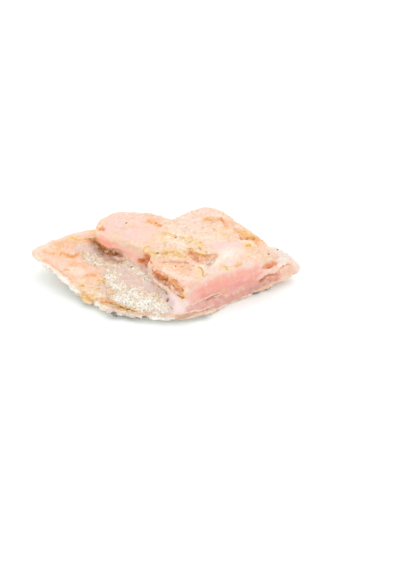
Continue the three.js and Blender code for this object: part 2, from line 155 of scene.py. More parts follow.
# Narrow marks with soft ragged edges, in the same form.
MARKS = {
    "back_stain": (YELLOW, 1.1, 1.0, [(70, 237.6), (75, 238.4), (80, 239.6)]),
    "back_line": (APRICOT, 0.9, 0.9, [(80, 240), (88, 239), (94, 239.5)]),
    "back_corner": (YELLOW, 0.9, 0.7, [(90, 231.8), (95, 231.4)]),
    "spot_back": (APRICOT, 0.8, 0.6, [(63, 245), (66, 245)]),
    "spot_left": (APRICOT, 1.0, 0.8, [(45, 252), (52, 254.2)]),
    "squiggle": (APRICOT, 1.1, 1.0, [(62, 254), (67, 255), (72, 256), (77.5, 254.6)]),
    "arch": (APRICOT, 1.3, 0.8, [(71, 264.6), (76, 263.4), (81, 264), (85, 267.4)]),
    "mid_mark": (APRICOT, 1.1, 0.9, [(86.5, 276), (91, 275), (95.6, 275.2)]),
    "yellow_mark": (YELLOW, 1.1, 0.9, [(97, 280.6), (102, 281)]),
    "edge_line": ((250, 184, 150), 0.7, 0.8, [(44, 260.4), (53, 266), (61, 272), (68, 279), (72, 282)]),
    "tip_cream": ((252, 232, 204), 0.8, 0.9, [(33, 256.6), (36, 258), (40, 260)]),
    "edge_rind": (WHITE, 1.0, 1.0, [(34, 259.4), (41, 263), (50, 268), (57, 273.6), (63, 279), (68, 284)]),
    "edge_rind_low": (WHITE, 1.2, 1.0, [(64, 281), (70, 287), (75, 291.6), (79, 294.6)]),
    "rim_stain": (YELLOW, 1.1, 0.9, [(79, 295.6), (86, 297.8), (93, 299.4)]),
    "layer": ((248, 200, 140), 0.9, 1.0, [(102, 302.6), (108, 302.4), (114, 303.6), (120, 306), (127, 309)]),
    "layer_end": (YELLOW, 0.9, 0.9, [(114, 305), (124, 308.6), (132, 310.6), (138, 312.6)]),
    "layer_white": (WHITE, 0.9, 0.8, [(98, 304), (104, 307.4), (110, 309.6)]),
    "layer_grey": ((222, 206, 194), 1.0, 0.7, [(110, 311), (118, 313), (126, 315), (136, 317)]),
    "bottom_white": (WHITE, 0.9, 1.0, [(152, 318.4), (160, 319.6), (170, 320), (176, 319)]),
    "cap_spot": (ORANGE, 0.9, 0.9, [(99.6, 229.4), (102, 227.6), (104, 229.4)]),
    "cap_smear": ((248, 184, 130), 1.4, 1.0, [(148.6, 221.6), (154, 222), (160, 225)]),
    "cap_scratch": (APRICOT, 0.6, 0.35, [(121, 229), (128, 227), (138, 227)]),
    "crevice_shade": ((202, 158, 136), 1.7, 0.9, [(97, 250), (104, 256), (112, 259.6), (120, 262)]),
    # Painted shade: grey-brown darkening beneath the cap's left end, where the crevice starts.
    "crevice_grey_painted_shade": ((190, 160, 148), 1.2, 0.8, [(91, 243), (95, 247.6), (98, 251)]),
    "crevice": ((200, 126, 70), 1.2, 1.0, [(94, 241), (98, 244.6), (102, 248.4), (108, 252), (122, 256.6)]),
    "crevice_orange": ((214, 144, 84), 1.0, 1.0, [(101.6, 247.6), (106, 250.4), (111, 252)]),
    "crevice_end": ((250, 214, 196), 1.0, 0.9, [(115, 256.6), (121, 258.4), (125, 259)]),
    # Partly the stone's own salmon, partly a painted glow of light shining through the cap's thin front edge.
    "cap_edge": ((255, 172, 146), 1.0, 1.0, [(99, 240), (107, 244), (114, 247.6)]),
    "cap_edge_right": ((254, 194, 174), 1.0, 1.0, [(114, 247.6), (121, 250.6), (130, 254.6), (138, 258)]),
    "pocket": ((244, 160, 100), 1.3, 1.0, [(139.6, 260), (144, 260), (148.6, 261), (149, 257), (148, 255)]),
    "pocket_rim": (YELLOW, 1.0, 0.5, [(143.6, 251.4), (147, 248.6), (151, 251), (153, 256)]),
    "gash": ((250, 172, 112), 1.5, 1.0, [(155, 273), (159, 274.6), (163, 276.6), (167, 278.6)]),
    "gash_low": ((252, 204, 150), 1.8, 1.0, [(170.6, 279), (174, 283), (179, 288), (184, 295)]),
    "gash_low_core": (ORANGE, 1.0, 0.9, [(172, 280), (176, 284), (181, 289)]),
    "gash_aside": (APRICOT, 0.9, 0.6, [(183, 286), (188, 287), (192, 288)]),
    "scallop": (APRICOT, 2.8, 0.4, [(176, 266), (188, 266), (198, 272)]),
    "scallop_edge": ((248, 212, 152), 1.3, 0.8, [(197, 268), (201, 270), (201.6, 275), (198, 278)]),
    "scallop_foot": ((251, 224, 210), 1.3, 0.8, [(164, 270), (172, 274), (180, 278), (190, 280)]),
    "band_edge": ((250, 198, 180), 1.5, 0.9, [(181, 282), (188, 284), (196, 284.4)]),
    "yellow_line": (YELLOW, 1.2, 0.8, [(152, 253), (163, 254), (172, 251), (177, 253), (185, 256.6)]),
    "yellow_above": (YELLOW, 1.0, 0.6, [(166, 232), (171, 234.6), (175, 237)]),
    "yellow_right": (YELLOW, 1.0, 0.8, [(196, 241), (200, 244), (200.6, 249)]),
    "yellow_spots": (YELLOW, 1.0, 0.5, [(184, 238), (192, 240)]),
    "splash_white": (WHITE, 1.4, 0.3, [(170, 242), (178, 245), (188, 248)]),
    "step_slope": ((252, 196, 156), 2.2, 1.0, [(194, 256), (200, 259), (208, 261), (214, 258)]),
    "step_low": ((244, 186, 158), 1.1, 1.0, [(193, 260), (199, 262.4), (203, 263.4), (210, 261)]),
    "step_corner": ((252, 214, 190), 1.2, 1.0, [(206.6, 263), (209, 264), (211, 263)]),
    "step": ((255, 200, 146), 1.3, 1.0, [(188.6, 254), (190, 250.6), (194, 252.2), (197, 254)]),
    "step_end": ((255, 222, 202), 1.2, 1.0, [(211, 260), (215, 258.4), (219, 258)]),
    "step_edge": ((255, 236, 220), 1.0, 0.9, [(202, 266.6), (208, 265.4), (214, 262.6), (220, 259.6)]),
    "right_spot": (APRICOT, 1.0, 0.9, [(235.6, 266.6), (238, 264.6), (241, 264)]),
    "right_spots": (YELLOW, 1.1, 0.8, [(221, 266.4), (225, 268), (229, 270.4)]),
    "right_smear": (APRICOT, 1.2, 0.5, [(241, 257), (250, 258), (256, 260)]),
    "face_low": (MAUVE, 1.7, 0.95, [(188, 313), (200, 306), (212, 303)]),
    "face_low_right": ((229, 164, 154), 2.0, 0.95, [(218, 302), (232, 297), (246, 291), (258, 285)]),
    "face_low_grey": ((208, 160, 152), 1.0, 0.8, [(250, 290.6), (258, 286.6), (265, 284)]),
    "lip_shade": ((214, 160, 142), 0.7, 0.7, [(206, 300.4), (213, 297), (220, 294)]),
    # Painted shade: brownish darkening at the left end of the cream foot.
    "foot_painted_shade": ((208, 164, 138), 1.0, 0.9, [(178, 318), (184, 317.4), (192, 315.6)]),
    "foot_cream": ((236, 206, 186), 0.7, 0.9, [(186, 320.4), (196, 317.4), (206, 313)]),
    "foot_edge": ((250, 222, 204), 0.45, 0.7, [(214, 310), (226, 304.4), (238, 299), (252, 294)]),
    # Partly dark matrix, partly a painted contact shadow where the stone meets the floor.
    "matrix_shadow_right": ((96, 84, 78), 0.5, 0.9, [(253.4, 294), (257, 293), (261.4, 291.6), (270, 288)]),
    "face_foot": ((224, 168, 154), 1.0, 0.9, [(196, 313), (206, 310), (220, 304.6), (252, 292.6)]),
    "oval_pit": ((240, 150, 108), 1.3, 1.0, [(265.6, 267.8), (270, 266), (276, 263.6)]),
    "pit_rim": ((251, 214, 200), 0.8, 0.9, [(265, 270.6), (271, 269.6), (277, 267)]),
    "under_ledge": ((214, 132, 88), 0.7, 0.8, [(263, 278.6), (266, 276), (269, 275)]),
    "ledge_rim": ((250, 208, 196), 0.7, 0.9, [(258, 279), (262, 275.6), (267, 272.8), (274, 272.4)]),
    "tip_arc": (APRICOT, 0.8, 0.6, [(280, 269.6), (283, 266.6), (287, 264.8), (291, 264.4)]),
    "tip_edge": (CREAM, 0.9, 1.0, [(282, 281), (285, 277.6), (290, 275), (297, 273)]),
    "peak_smear": (APRICOT, 1.3, 0.9, [(204, 219.4), (212, 219), (220, 219), (225, 222), (226, 226)]),
    "peak_yellow": (YELLOW, 1.0, 0.7, [(220, 234), (227, 236)]),
    "right_stain": ((250, 188, 134), 2.1, 1.0, [(240, 232), (247, 235), (254, 238), (258, 241)]),
    "right_stain_yellow": ((250, 208, 132), 1.1, 0.9, [(243, 231), (249, 234), (254, 236)]),
    "right_stain_low": (YELLOW, 1.2, 0.9, [(244, 245.6), (248, 244.6), (252, 245.6)]),
}

# Fine lines with crisp ragged edges, in the same form.
LINES = {
    "back_stain": (OCHRE, 0.28, 0.8, [(70.6, 236.6), (73, 238), (76, 239.4), (80, 239.8)]),
    "back_line": (RUST, 0.22, 0.6, [(84, 239.4), (88, 238.8), (91.6, 240.4)]),
    "back_line_low": (OCHRE, 0.3, 0.8, [(84, 241.8), (90, 241.8)]),
    "spot_left": (OCHRE, 0.34, 0.9, [(49.6, 254), (53.4, 254.2)]),
    "squiggle_arc": (ORANGE, 0.3, 0.8, [(60.5, 256), (60.5, 253.6), (63, 252.8), (65, 254), (68, 255.6)]),
    "squiggle": ((234, 160, 98), 0.5, 0.9, [(67, 255.4), (70, 256.4), (74, 256.4), (76.6, 255)]),
    "arch": (OCHRE, 0.22, 0.4, [(71, 264.6), (75, 263), (81, 263.6), (84.6, 266.6)]),
    "low_mark": (ORANGE, 0.4, 0.9, [(65.4, 269.4), (69.6, 270)]),
    "mid_mark": (ORANGE, 0.45, 0.9, [(87.6, 275.6), (91, 275), (95, 275.6)]),
    "yellow_mark": (OCHRE, 0.3, 0.9, [(97, 281), (99, 279.4), (101.6, 280.6)]),
    "foot_mark": (OCHRE, 0.4, 0.9, [(80, 285.4), (83, 285.6)]),
    "edge_shadow": (GREY, 0.24, 0.8, [(35, 261), (39.5, 263.4), (47, 267), (53, 271.6), (58, 276.6)]),
    "edge_shadow_dark": (BROWN, 0.2, 0.6, [(47, 266.8), (50, 268.6), (52.6, 271)]),
    "rim_stain": (OCHRE, 0.26, 0.9, [(79.6, 295.4), (82, 296.8), (86, 297.2), (89, 298.8), (92.6, 299.4)]),
    "rim_stain_branch": (OCHRE, 0.24, 0.8, [(82.6, 294.6), (87, 296), (91, 297.6)]),
    "layer": ((222, 142, 74), 0.3, 0.9, [(101, 302.6), (105, 301.6), (109, 301.8), (113, 303)]),
    "layer_long": (BROWN, 0.26, 0.8, [(110, 302.6), (116, 304.4), (121, 307), (126, 309), (138, 313)]),
    "layer_upper": (OCHRE, 0.24, 0.7, [(106, 298), (111, 300.4), (117, 302), (123, 304.6)]),
    "layer_low": ((228, 172, 108), 0.26, 0.8, [(104, 305.4), (110, 307), (117, 309.4), (124, 311.4)]),
    "bottom_line": (OCHRE, 0.24, 0.6, [(140, 314.8), (149, 316.4), (158, 317.4), (166, 318)]),
    "cap_speck": (BROWN, 0.26, 0.9, [(125.6, 223.2), (127, 222.4)]),
    "cap_spot": ((214, 140, 84), 0.3, 0.8, [(100.4, 230), (102.6, 228.6), (104, 230.4)]),
    "cap_smear": (RUST, 0.4, 0.8, [(151.6, 222.8), (155, 222.4)]),
    "cap_smear_end": (RUST, 0.4, 0.7, [(158, 224.6), (160.6, 225)]),
    "cap_smear_arc": (OCHRE, 0.24, 0.6, [(148, 222), (150, 219.6), (154.6, 219.4)]),
    "cap_curl": (OCHRE, 0.22, 0.7, [(143, 252), (143.6, 248.6), (146.6, 246.4), (149.6, 247)]),
    "crevice_start": (BROWN, 0.34, 0.9, [(90, 238.6), (93, 239.4), (96, 242), (99, 245)]),
    "crevice_sparkle": (CREAM, 0.34, 1.0, [(105.4, 251.2), (106.4, 251.2)]),
    "crevice_sparkle_right": (CREAM, 0.3, 1.0, [(113.2, 251.4), (114, 251.4)]),
    "crevice_hole": (DARK, 0.22, 0.8, [(109.6, 250.2), (111, 250.6)]),
    "crevice_hole_right": (DARK, 0.26, 0.8, [(115.6, 253), (118, 254.2)]),
    "crevice_hole_left": ((120, 84, 58), 0.2, 0.8, [(101, 247.4), (102.6, 249)]),
    "crevice_foot": ((130, 96, 76), 0.24, 0.7, [(103, 251.6), (108, 254), (113, 255.6), (120, 257.4)]),
    "pocket_dark": ((216, 118, 60), 0.36, 0.95, [(139.4, 259.6), (142, 260.8), (147, 259.6), (149, 258)]),
    "pocket_darker": (BROWN, 0.2, 0.7, [(140, 260), (142, 261), (144, 261)]),
    "pocket_curl": ((200, 100, 50), 0.24, 0.95, [(149.4, 259.6), (148.8, 256), (146.8, 253.8)]),
    "pocket_tail": (RUST, 0.22, 0.8, [(149.4, 260), (152.4, 264)]),
    "pocket_tail_low": (RUST, 0.22, 0.6, [(146, 264.4), (147.8, 268)]),
    "gash_foot": ((196, 104, 54), 0.3, 0.95, [(150.8, 269), (153.8, 273.4), (158, 277), (167.6, 280.2)]),
    "gash_foot_dark": (BROWN, 0.22, 0.7, [(158, 277.4), (162, 279.4), (166.6, 280.6)]),
    "gash_ledge": (RUST, 0.24, 0.8, [(155.6, 271.6), (158, 273), (163, 275.4), (167, 276.6), (168.6, 279.4)]),
    "gash_core": ((226, 118, 56), 0.5, 0.9, [(157, 274.4), (160, 275.6), (163, 277.4)]),
    "gash_top": (RUST, 0.2, 0.7, [(157, 270.8), (161, 271.6), (164.6, 273.6), (168, 276)]),
    "gash_low_line": (RUST, 0.24, 0.8, [(170.6, 277.2), (174, 279.4), (177.4, 281.4), (180.6, 284.6)]),
    "gash_low_mid": (RUST, 0.22, 0.8, [(168.8, 280.8), (172, 284.4), (175, 287.4), (178, 290)]),
    "gash_low_hook": (RUST, 0.34, 0.9, [(176.6, 289.6), (179.4, 290), (182.4, 290.4)]),
    "gash_low_foot": (RUST, 0.26, 0.85, [(165, 282.8), (168, 287), (172, 291.4), (177, 294.8), (183.6, 298)]),
    "gash_aside": (RUST, 0.2, 0.6, [(188, 286.6), (191.6, 287.6)]),
    "crack": (BROWN, 0.17, 0.9, [(151.6, 282.4), (155, 284.6), (158.6, 286.8), (162, 289.4), (166, 292.4)]),
    "crack_end": (BROWN, 0.2, 0.8, [(166, 292.4), (167.7, 294.6)]),
    "crack_hole": ((150, 100, 90), 0.36, 0.9, [(168.2, 298.6), (167.4, 301)]),
    "crack_bits": ((160, 140, 132), 0.26, 0.7, [(169.6, 306), (173, 309)]),
    "scallop_arc": ((222, 158, 118), 0.28, 0.9, [(160, 262.4), (170, 261.6), (185.5, 262.3), (193, 265)]),
    "scallop_arc_low": (APRICOT, 0.34, 0.8, [(168, 267), (179, 270.6), (190, 276), (196, 279)]),
    "scallop_line": ((226, 172, 128), 0.24, 0.8, [(182, 266.4), (189, 268.6), (195, 272.4)]),
    "scallop_edge": ((206, 160, 104), 0.24, 0.9, [(198.4, 267.2), (201.4, 267.8), (203, 272), (203, 276.4)]),
    "yellow_line": (OCHRE, 0.28, 0.9, [(158, 253.2), (163, 254), (167.4, 252.4), (172, 252.4), (174.6, 250)]),
    "yellow_line_end": (OCHRE, 0.24, 0.8, [(174, 255), (180, 256.4), (184, 256.2), (188, 254.8)]),
    "yellow_above": (OCHRE, 0.2, 0.7, [(166, 232.4), (170, 233.6), (173.4, 236)]),
    "yellow_right": ((214, 160, 96), 0.3, 0.8, [(199.4, 241.6), (201, 244), (199, 247), (200.4, 249.4)]),
    "step_top": ((212, 156, 100), 0.22, 0.8, [(189.6, 248.2), (192, 248.6), (193.6, 249.4)]),
    "step_ledge": ((242, 186, 104), 0.34, 1.0, [(197, 253.2), (201, 254.8), (204, 255.6), (208, 255.6)]),
    "step_ledge_dark": (RUST, 0.18, 0.8, [(196.4, 252.6), (199, 254.6), (202, 256.2), (206, 256.6)]),
    "step_foot": ((222, 150, 100), 0.18, 0.6, [(184.6, 256.6), (188.6, 255), (190, 252.6)]),
    "step_core": ((240, 150, 104), 0.4, 0.8, [(190.6, 252.4), (192.4, 253.6)]),
    "step_line": (RUST, 0.2, 0.7, [(197.6, 257.4), (201, 259.6), (203.6, 262)]),
    "step_line_right": (ORANGE, 0.18, 0.6, [(212, 255.6), (216, 256.4), (219.6, 258.2)]),
    "right_spot": (OCHRE, 0.2, 0.7, [(236, 267.4), (239, 265.4), (241.6, 264)]),
    "right_spots": ((214, 178, 118), 0.24, 0.9, [(223.6, 266), (226.4, 267), (226.8, 269.4), (229, 270.4)]),
    # Partly the lip's cream, partly a painted highlight along its ridge.
    "lip": ((251, 216, 198), 0.26, 0.7, [(186, 307.6), (191, 305.4), (200, 300.4), (213, 294.6), (221, 292)]),
    "lip_line": (RUST, 0.24, 0.7, [(185.4, 308.6), (188, 306.4), (191, 306)]),
    # Partly a stained crack, partly painted shade under the lip.
    "lip_crack": ((214, 136, 96), 0.2, 0.8, [(207.6, 299.2), (212, 296.4), (216, 294.6), (219.6, 293.6)]),
    # Painted highlight: small bright bits at the lip's right end.
    "lip_end_painted_highlight": (CREAM, 0.2, 0.9, [(215, 296.4), (219, 295.6), (221, 293.6)]),
    "lip_low": ((210, 150, 112), 0.24, 0.7, [(175.6, 317), (184, 315.2), (191, 313.8), (197, 312.2)]),
    "lip_low_cream": (CREAM, 0.24, 0.8, [(178, 315.4), (188, 312.6), (198, 310)]),
    "foot_line": (CREAM, 0.2, 0.8, [(196, 312.6), (203, 309.6), (210, 306.6)]),
    "foot_white": (CREAM, 0.24, 0.8, [(243, 297), (247, 296), (252.6, 294.4)]),
    # Dark matrix along the foot, made darker as a painted contact shadow where the stone meets the floor.
    "matrix_shadow_left": (DARK, 0.4, 0.95, [(109, 312.6), (113, 314), (117, 315.8)]),
    "matrix_shadow_line": (DARK, 0.3, 0.8, [(113, 312.6), (118, 314.6), (128, 316.6), (138, 318), (149, 319)]),
    "matrix_shadow_front": (DARK, 0.4, 0.95, [(194.5, 320.2), (201, 317.4), (207.6, 314.2)]),
    "matrix_shadow_front_line": (DARK, 0.16, 0.6, [(207.6, 315.2), (214, 312), (219, 309.6)]),
    "matrix_shadow_right": (DARK, 0.6, 0.95, [(253.4, 294.2), (257, 293.2), (261.4, 291.8)]),
    "matrix_shadow_end": (DARK, 0.45, 0.95, [(264.6, 290), (268, 289), (270, 288)]),
    "oval_pit": ((214, 116, 70), 0.5, 0.9, [(265.6, 268.2), (269, 267.4), (272.6, 265.8)]),
    "under_ledge": (RUST, 0.4, 0.95, [(261, 280.6), (264, 277), (267.6, 274.8), (273.6, 274.6)]),
    "under_ledge_end": (RUST, 0.2, 0.8, [(273.6, 274.6), (277, 273)]),
    "tip_arc": (RUST, 0.24, 0.9, [(280.4, 269.2), (283.4, 266.2), (287, 264.9), (290, 264.6)]),
    "tip_line": (OCHRE, 0.22, 0.8, [(283, 280), (286, 276.8), (291, 274.4), (296, 273)]),
    "peak_smear": (OCHRE, 0.34, 0.9, [(205, 219), (209, 219.4), (212.6, 219.2)]),
    "peak_smear_end": ((236, 156, 94), 0.45, 0.9, [(221, 218.6), (223.6, 221.6), (226, 225)]),
    "peak_spot": (ORANGE, 0.4, 0.7, [(214, 229), (215.6, 231)]),
    "peak_yellow": (OCHRE, 0.18, 0.8, [(219.6, 233.6), (222.6, 235.4), (226.8, 236.4)]),
    "peak_line": (OCHRE, 0.18, 0.5, [(216, 216.6), (219.6, 216.2)]),
    "right_stain": ((214, 142, 76), 0.3, 0.9, [(241, 238.4), (245, 238.6), (248, 237.6), (254, 238.8)]),
    "right_stain_arc": ((204, 138, 84), 0.2, 0.8, [(238.8, 231.4), (239.2, 235), (241.4, 238)]),
    "right_stain_top": (OCHRE, 0.3, 0.7, [(244, 233.4), (249, 235.4), (254.4, 237.4)]),
    "right_stain_low": (OCHRE, 0.36, 0.8, [(245.6, 246), (248.4, 244.6), (250.6, 245.8)]),
}

# Small dark grains: name: (reach in mm, pixels).
SPECKS = {
    "by_splash": (0.3, [(175.2, 237.2), (175.8, 237.2)]),
    "on_yellow_line": (0.34, [(156.6, 252.8), (158, 252.8)]),
    "right_of_stain": (0.3, [(253.4, 246.4), (254.2, 246.4)]),
    "behind_pit": (0.3, [(268.2, 254.2), (269.2, 254.2)]),
    "tip_back": (0.32, [(276, 250.8), (278.4, 251)]),
    "near_pit": (0.22, [(264.2, 261.8), (264.6, 261.8)]),
    "scallop": (0.15, [(175.4, 266), (176, 266.4)]),
    "druse_arc": (0.2, [(130.4, 267.2), (132.8, 266.8)]),
    "druse_top": (0.2, [(118.6, 262), (119.2, 262.2)]),
}

# Relief that the photo shows: name: (height in mm, negative for a groove, reach in mm, pixels).
RELIEF = {
    "crevice": (-0.3, 1.0, [(102, 249), (108, 252), (116, 254)]),
    "cap_streak": (-0.12, 0.8, [(108, 227), (122, 229), (138, 227.6)]),
    "cap_dent": (-0.15, 1.6, [(120, 238), (134, 240)]),
    "cap_ridge": (0.15, 0.8, [(126, 244), (138, 247), (144, 246)]),
    "pocket": (-0.2, 0.7, [(141, 260), (146, 260), (148.6, 256)]),
    "gash_foot": (-0.4, 0.5, [(150.8, 269), (153.8, 273.4), (158, 277), (163, 279.4), (167.6, 280.2)]),
    "gash_low_foot": (-0.3, 0.4, [(165, 282.8), (168, 287), (172, 291.4), (177, 294.8), (183.6, 298)]),
    "gash_low_hook": (-0.3, 0.45, [(176, 289), (179.4, 290.6), (182.6, 290)]),
    "crack": (-0.3, 0.3, [(151.6, 282.4), (155, 284.6), (158.6, 286.8), (162, 289.4), (166, 292.4)]),
    "crack_hole": (-0.5, 0.5, [(167.8, 298.6), (167.2, 300.6)]),
    "crack_lip": (0.3, 0.6, [(154, 279.4), (160, 284.4), (166, 289)]),
    "squiggle": (-0.25, 0.6, [(67, 256), (70, 256.6), (74, 256), (77.5, 254.6)]),
    "cap_smear": (-0.3, 1.0, [(148.6, 221.6), (154, 222), (160, 225)]),
    "oval_pit": (-0.6, 1.1, [(265.6, 267.8), (270, 266), (276, 263.6)]),
    "under_ledge": (-0.5, 0.5, [(260.6, 281.6), (264, 278), (268, 275.6), (273.6, 275)]),
    "right_stain": (-0.45, 0.7, [(241, 238.2), (247, 238.4), (253.6, 238.2)]),
    "yellow_line": (-0.3, 0.6, [(152, 253), (163, 254), (172, 251), (177, 253), (185, 256.6)]),
    "step_fill": (1.3, 1.9, [(203, 262), (208, 263.4), (211, 262.6)]),
    "step_ledge": (0.2, 0.5, [(197.6, 252.6), (203, 254), (209, 254.4)]),
    "scallop_arc": (-0.15, 0.4, [(160, 262.4), (170, 261), (180, 261.4), (187, 263.4), (194, 266)]),
    "lip": (0.35, 0.5, [(186, 307.6), (191, 305.4), (200, 300.4), (206, 298.2), (212.8, 294.6), (221, 292)]),
    "lip_crack": (-0.25, 0.35, [(207.6, 299.6), (212, 297), (219.6, 294.4)]),
    "lip_low": (0.3, 0.5, [(176, 318), (184, 316), (194, 313.4), (204, 309.4), (214, 305)]),
    "layer": (-0.3, 0.45, [(102, 304), (108, 304.4), (116, 306), (124, 309.4), (134, 312)]),
    "rim_left": (0.8, 1.6, [(84, 298), (96, 302), (108, 310), (118, 314), (128, 315.4), (140, 317)]),
    "rim_front": (0.55, 1.2, [(150, 318.6), (164, 319.4), (180, 319.4), (196, 317), (208, 313)]),
    "wing_tip": (0.6, 2.6, [(38, 250.6), (44, 247.6), (50, 244.8)]),
    "tip_back": (0.6, 2.4, [(276, 252), (284, 255), (292, 260), (298, 266)]),
}

# Where the underside curves up off the floor: name: (reach in mm, rise in mm, pixels).
LIFTED = {
    "left": (2.4, 0.6, [(104, 306), (112, 311), (120, 314.6), (130, 316.4), (140, 317.6)]),
    "front": (2.8, 0.8, [(146, 318), (160, 319), (176, 319.4), (192, 317.6), (206, 313.6)]),
}
LIFT_FADE = 3.0  # mm above the floor, where the lift ends

# Smooth faces, rounded off and less rough and stained: name: (reach in mm, strength, pixels).
CALM = {
    "cap": (6.0, 0.7, [(112, 226), (130, 233), (146, 238)]),
    "cap_front": (2.2, 0.9, [(98, 240), (110, 245), (124, 252), (138, 258)]),
    "face": (4.2, 1.0, [(194, 297), (215, 285), (240, 278), (260, 271)]),
    "right_patch": (3.4, 0.7, [(218, 246), (228, 249), (240, 247)]),
    "right_top": (3.0, 0.6, [(204, 267), (218, 261), (238, 258)]),
    "lilac_facet": (2.6, 1.0, [(172, 301), (182, 308)]),
    "wing": (4.0, 0.4, [(48, 256), (64, 262), (84, 268)]),
    "wing_back": (2.6, 0.8, [(36, 252), (42, 248.6), (50, 244.4), (70, 236), (90, 229)]),
    "tip": (2.4, 0.4, [(284, 262), (296, 267)]),
}

# Torn ledges, in the same form.
TORN = {
    "gash": (2.2, 1.0, [(152, 270), (158, 275), (166, 279), (176, 286), (184, 296)]),
    "step": (2.2, 1.0, [(188, 252), (198, 256), (212, 258)]),
    "yellow_line": (1.6, 0.7, [(152, 253), (164, 254), (174, 251), (186, 256)]),
    "splash": (3.4, 0.6, [(168, 238), (180, 244), (196, 244)]),
    "right_stain": (2.6, 0.9, [(238, 232), (247, 236), (256, 241)]),
    "peak_smear": (1.8, 0.6, [(206, 219), (218, 220), (226, 225)]),
    "crevice": (1.8, 0.8, [(92, 243), (102, 249), (118, 256)]),
    "layer": (2.0, 1.0, [(80, 296), (94, 300), (108, 305), (122, 310), (138, 315)]),
    "lip": (1.6, 0.6, [(186, 308), (206, 300), (222, 293)]),
}

# Where the druse's crystals lie, and how thickly: name: (reach in mm, thickness, pixels).
DRUSE = {
    "crevice": (1.5, 0.7, [(100, 248), (108, 252), (118, 256)]),
    "upper": (4.4, 0.6, [(92, 253), (104, 260), (118, 266), (132, 272)]),
    "left": (3.6, 0.8, [(112, 274), (122, 288), (136, 292)]),
    "cluster": (2.6, 0.8, [(136, 271), (147, 277)]),
    "right": (3.2, 0.7, [(148, 288), (160, 296)]),
    "sprinkle": (2.8, 0.4, [(104, 286), (110, 292), (116, 299)]),
    "lower": (4.6, 1.0, [(124, 298), (138, 303), (152, 306), (160, 308)]),
}

DRUSE_TOP = 8.2  # the druse lies below this height in mm
DRUSE_FADE = 0.4  # and thins out over these mm under it

# Bare patches between the crystals, in the same form.
BARE = {
    "top": (1.8, 0.4, [(104, 257), (112, 259.4), (120, 262)]),
    "middle": (2.4, 0.8, [(120, 272), (128, 277), (136, 284)]),
    "right": (1.7, 1.0, [(146, 285), (151, 289)]),
    "low": (1.2, 0.8, [(158, 292), (163, 296)]),
    "cap_foot": (1.8, 0.9, [(140, 265), (146, 271)]),
    "facet": (2.6, 1.0, [(172, 298), (178, 306)]),
    "foot": (1.5, 1.0, [(140, 315), (154, 314.6), (166, 313), (174, 309)]),
}

# The rind along the lower edge reaches up to these heights: (x, height), both in mm.
RIND_TOP = [(-36, 6.4), (-31, 5), (-26, 3.7), (-20, 2.6), (-10, 2.2), (4, 1.4), (8, 0.2), (30, 0.2), (36, 2)]


# Noise at points in mm. A number added to the points gives another noise of the same kind.
NOISE_GAIN = 1.6  # brings the noise to about -1 to 1
OCTAVE_SHIFT = 13.7  # keeps the finer noise from repeating the coarser one
rng = np.random.default_rng(SEED)
SHUFFLE = rng.permutation(256)
SLOPES = rng.normal(size=(256, 3))
SLOPES /= np.linalg.norm(SLOPES, axis=1)[:, None]
SCATTER = rng.random((256, 3))


def lattice_number(cell):
    """A number from 0 to 255 for each cell of a grid, always the same for the same cell."""
    x, y, z = (cell[:, axis] % 256 for axis in range(3))
    return SHUFFLE[(SHUFFLE[(SHUFFLE[x] + y) % 256] + z) % 256]


def noise(points):
    """Smooth noise, about -1 to 1, with one bump per unit."""
    cell = np.floor(points).astype(int)
    inner = points - cell
    fade = inner**3 * (inner * (inner * 6 - 15) + 10)
    total = np.zeros(len(points))
    for corner in map(np.array, np.ndindex(2, 2, 2)):
        weight = np.prod(np.where(corner, fade, 1 - fade), axis=1)
        slope = SLOPES[lattice_number(cell + corner)]
        total += weight * np.einsum("ij,ij->i", slope, inner - corner)
    return total * NOISE_GAIN


def rough(points, size, octaves=3):
    """Noise with finer and weaker noise on it. size is the largest bump in mm."""
    total = np.zeros(len(points))
    for octave in range(octaves):
        total += noise(points * 2**octave / size + OCTAVE_SHIFT * octave) / 2**octave
    return total


def nearest_grain(points, size):
    """The way from the nearest grain's middle, in grain sizes, and the grain's number."""
    scaled = points / size
    cell = np.floor(scaled).astype(int)
    nearest = np.full(len(points), np.inf)
    offset = np.zeros_like(points)
    number = np.zeros(len(points), int)
    for step in np.ndindex(3, 3, 3):
        other = cell + np.array(step) - 1
        name = lattice_number(other)
        way = scaled - other - SCATTER[name]
        away = np.linalg.norm(way, axis=1)
        closer = away < nearest
        nearest[closer] = away[closer]
        offset[closer] = way[closer]
        number[closer] = name[closer]
    return offset, number


def facets(points, size):
    """The rise in mm of flat facets that each tilt their own way."""
    offset, number = nearest_grain(points, size)
    return np.einsum("ij,ij->i", offset, SLOPES[number]) * size


def ramp(value, low, high):
    """0 below low, 1 above high, smooth in between."""
    share = np.clip((value - low) / (high - low), 0, 1)
    return share * share * (3 - 2 * share)


def ledges(height):
    """Turns a slope into ledges: what is added to it, for treads one unit apart."""
    tread = np.floor(height)
    return tread + ramp(height - tread, 0.6, 1.0) - height


# The fine surface.
def add_object(name, data):
    """A new object with this data, in the scene."""
    made = bpy.data.objects.new(name, data)
    bpy.context.scene.collection.objects.link(made)
    return made


def fine_surface(node):
    """A new object with the node's form on a fine even mesh."""
    copy = add_object("fine", node.data.copy())
    remesh = copy.modifiers.new("fine", "REMESH")
    remesh.mode = "VOXEL"
    remesh.voxel_size = VOXEL * MM
    graph = bpy.context.evaluated_depsgraph_get()
    mesh = bpy.data.meshes.new_from_object(copy.evaluated_get(graph))
    bpy.data.objects.remove(copy)
    return add_object("opal_surface", mesh)


def read_points(mesh):
    """The mesh's points in mm."""
    points = np.zeros(len(mesh.vertices) * 3, np.float32)
    mesh.vertices.foreach_get("co", points)
    return points.reshape(-1, 3).astype(float) / MM


def write_points(mesh, points):
    mesh.vertices.foreach_set("co", (points * MM).astype(np.float32).ravel())
    mesh.update()


